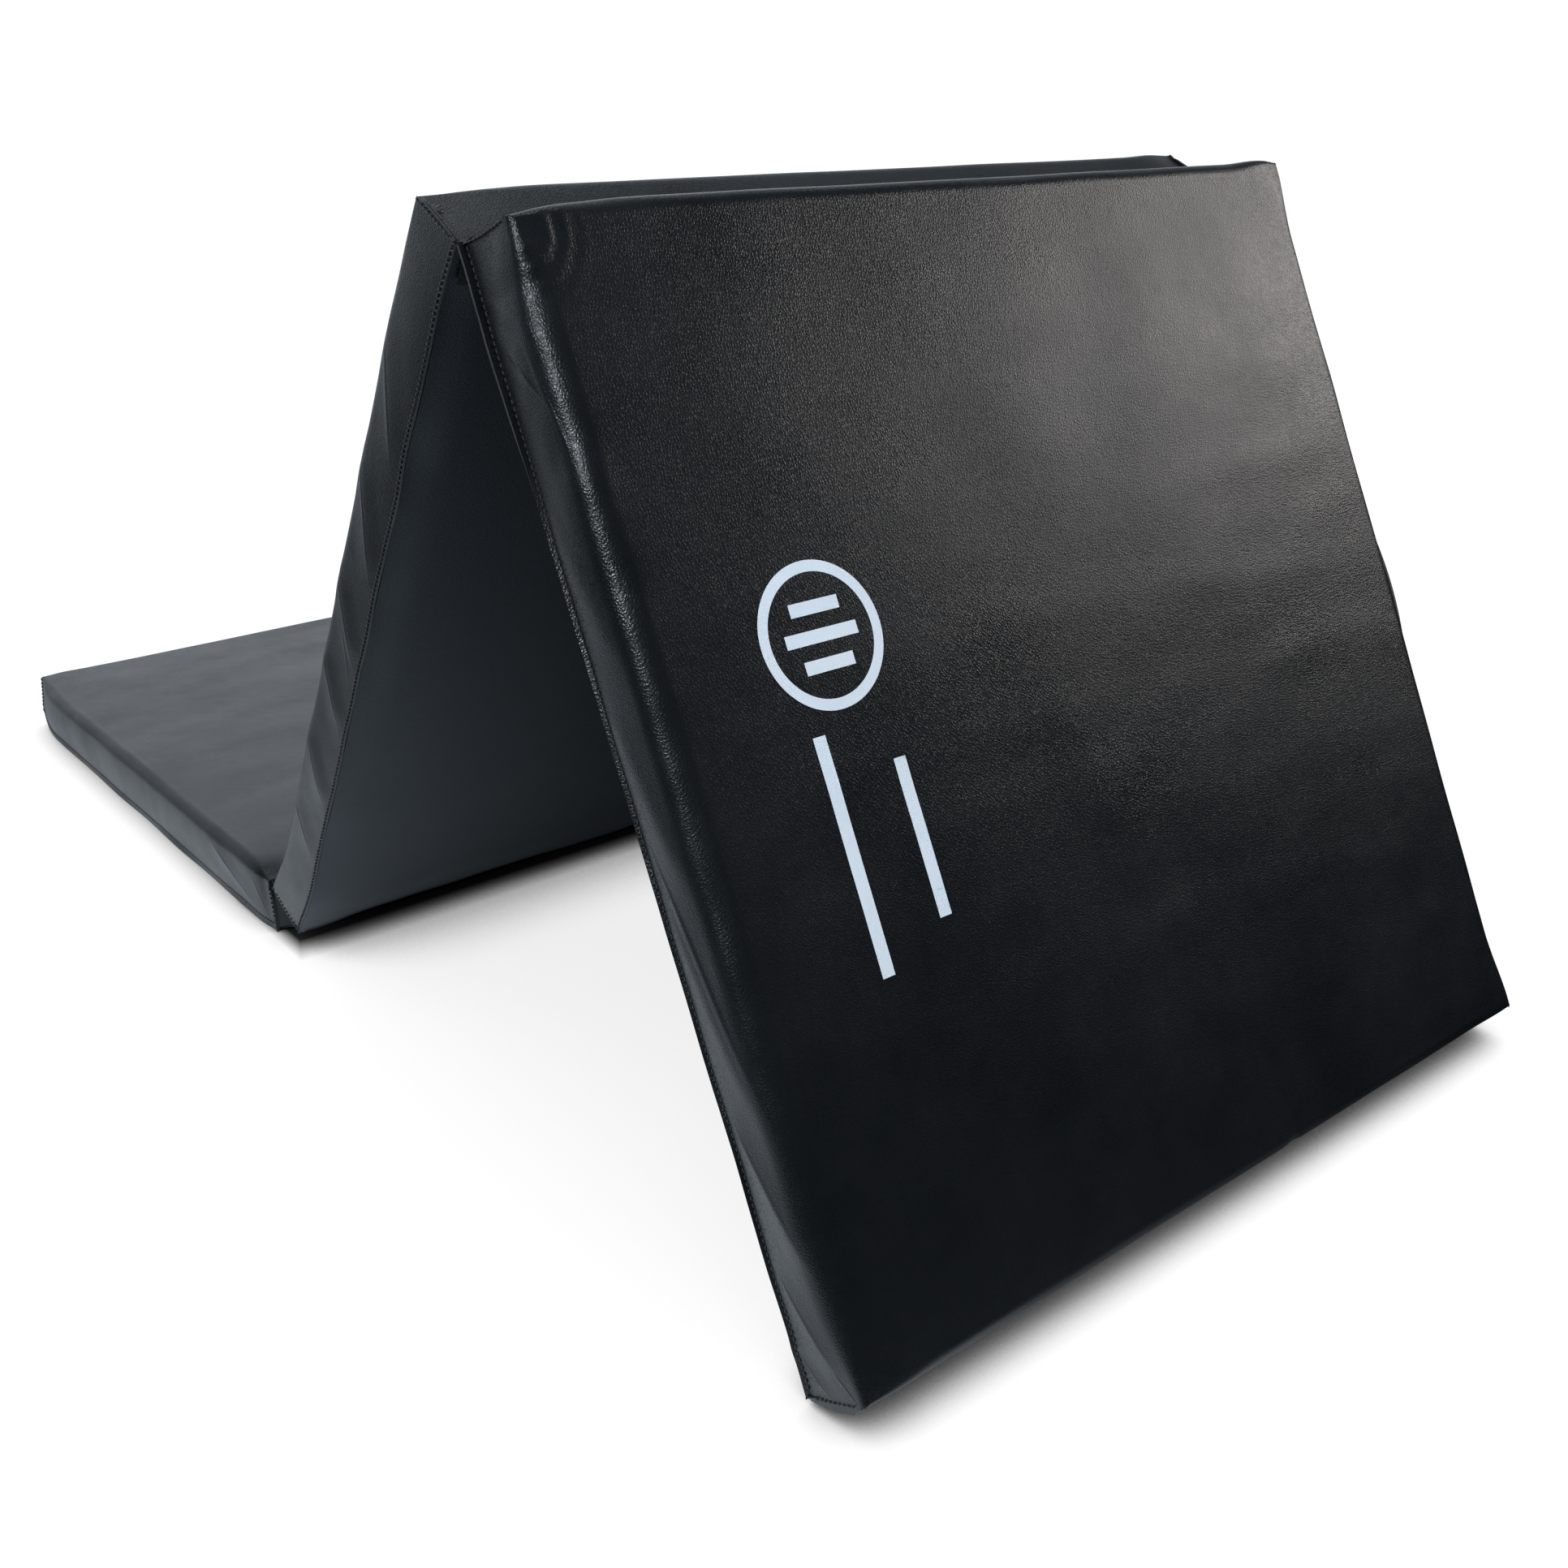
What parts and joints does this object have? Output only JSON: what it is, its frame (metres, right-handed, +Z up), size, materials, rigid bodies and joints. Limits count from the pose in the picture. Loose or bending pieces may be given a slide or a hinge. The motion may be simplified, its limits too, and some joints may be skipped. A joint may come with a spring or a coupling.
{
  "type": "folding gym mat",
  "caption": "Folding gym mat of square padded panels in a sewn black leatherette cover, hinged alternately on its upper and under faces, standing as an A-frame with webbing carrying handles.",
  "frame": {"origin": "centre of the floor panel's underside, where it rests on the floor", "axes": "+Z up; +X along the mat from the floor panel towards the front panel; +Y across the mat, towards the side with the handles"},
  "size_m": [1.2707, 0.6241, 0.5603],
  "materials": {
    "cover_vinyl": "satin black leatherette with a fine grain",
    "base_vinyl": "satin dark blue-black coated sheet",
    "thread": "waxed black polyester thread",
    "foam": "closed-cell foam, matt",
    "webbing": "woven black webbing",
    "print_film": "pale transfer print, satin"
  },
  "bodies": {
    "floor_panel": {"floor_panel_foam_core": "foam", "floor_panel_top_cover": "cover_vinyl", "floor_panel_base_sheet": "base_vinyl", "floor_panel_seam_stitching": "thread", "floor_panel_corner_stitching": "thread", "rear_hinge_floor_leaf": "cover_vinyl", "rear_hinge_floor_stitching": "thread", "floor_handle_sewn_ends": "webbing", "floor_handle_stitching": "thread"},
    "middle_panel": {"middle_panel_foam_core": "foam", "middle_panel_top_cover": "cover_vinyl", "middle_panel_base_sheet": "base_vinyl", "middle_panel_seam_stitching": "thread", "middle_panel_corner_stitching": "thread", "rear_hinge_middle_leaf": "cover_vinyl", "rear_hinge_middle_stitching": "thread", "apex_hinge_middle_leaf": "cover_vinyl", "apex_hinge_middle_stitching": "thread"},
    "front_panel": {"front_panel_foam_core": "foam", "front_panel_top_cover": "cover_vinyl", "front_panel_base_sheet": "base_vinyl", "front_panel_seam_stitching": "thread", "front_panel_corner_stitching": "thread", "apex_hinge_front_leaf": "cover_vinyl", "apex_hinge_front_stitching": "thread", "front_handle_sewn_ends": "webbing", "front_handle_stitching": "thread", "front_panel_print": "print_film"},
    "floor_handle": {"floor_handle_loop": "webbing"},
    "front_handle": {"front_handle_loop": "webbing"}
  },
  "joints": [
    {"name": "rear_fold", "type": "hinge", "parent": "floor_panel", "child": "middle_panel", "pos_m": [0.3005, 0, 0.0515], "axis": [0, -1, 0], "range_deg": [-58.9, 121.1]},
    {"name": "apex_fold", "type": "hinge", "parent": "middle_panel", "child": "front_panel", "pos_m": [0.65632, 0, 0.53874], "axis": [0, 1, 0], "range_deg": [-122.26, 57.74]},
    {"name": "floor_handle_swing", "type": "hinge", "parent": "floor_panel", "child": "floor_handle", "pos_m": [0, 0.30835, 0.018], "axis": [1, 0, 0], "range_deg": [-30, 30]},
    {"name": "front_handle_swing", "type": "hinge", "parent": "front_panel", "child": "front_handle", "pos_m": [0.80851, 0.30835, 0.2789], "axis": [0.4485, 0, -0.8938], "range_deg": [-30, 30]}
  ]
}
